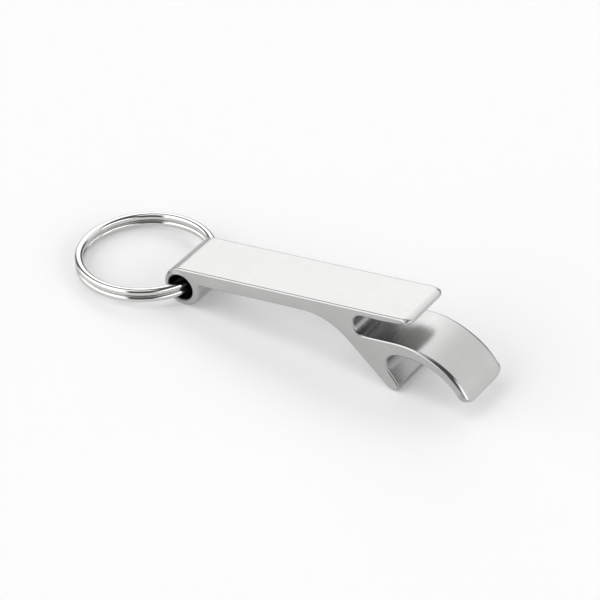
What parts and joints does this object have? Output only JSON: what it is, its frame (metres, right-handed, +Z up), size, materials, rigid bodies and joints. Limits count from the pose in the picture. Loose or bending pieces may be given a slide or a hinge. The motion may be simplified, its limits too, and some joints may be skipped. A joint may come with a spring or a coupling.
{
  "type": "keychain bottle opener",
  "caption": "Slim one-piece aluminium bottle opener with a lipped cap pocket and a slot above it, carried on a split key ring.",
  "frame": {"origin": "on the table, below the middle of the opener and its ring together", "axes": "+X from the ring towards the tongue, +Y across the opener, +Z up from the table"},
  "size_m": [0.0966, 0.03, 0.0185],
  "materials": {
    "satin_aluminium": "satin, bead-blasted and clear anodised",
    "nickel_plate": "polished nickel plate on spring steel"
  },
  "bodies": {
    "opener": {"opener_body": "satin_aluminium"},
    "ring": {"split_ring": "nickel_plate"}
  },
  "joints": [
    {"name": "ring_swing", "type": "hinge", "parent": "opener", "child": "ring", "pos_m": [-0.02008, 0, 0.00413], "axis": [0, 1, 0], "range_deg": [-182, 160]}
  ]
}
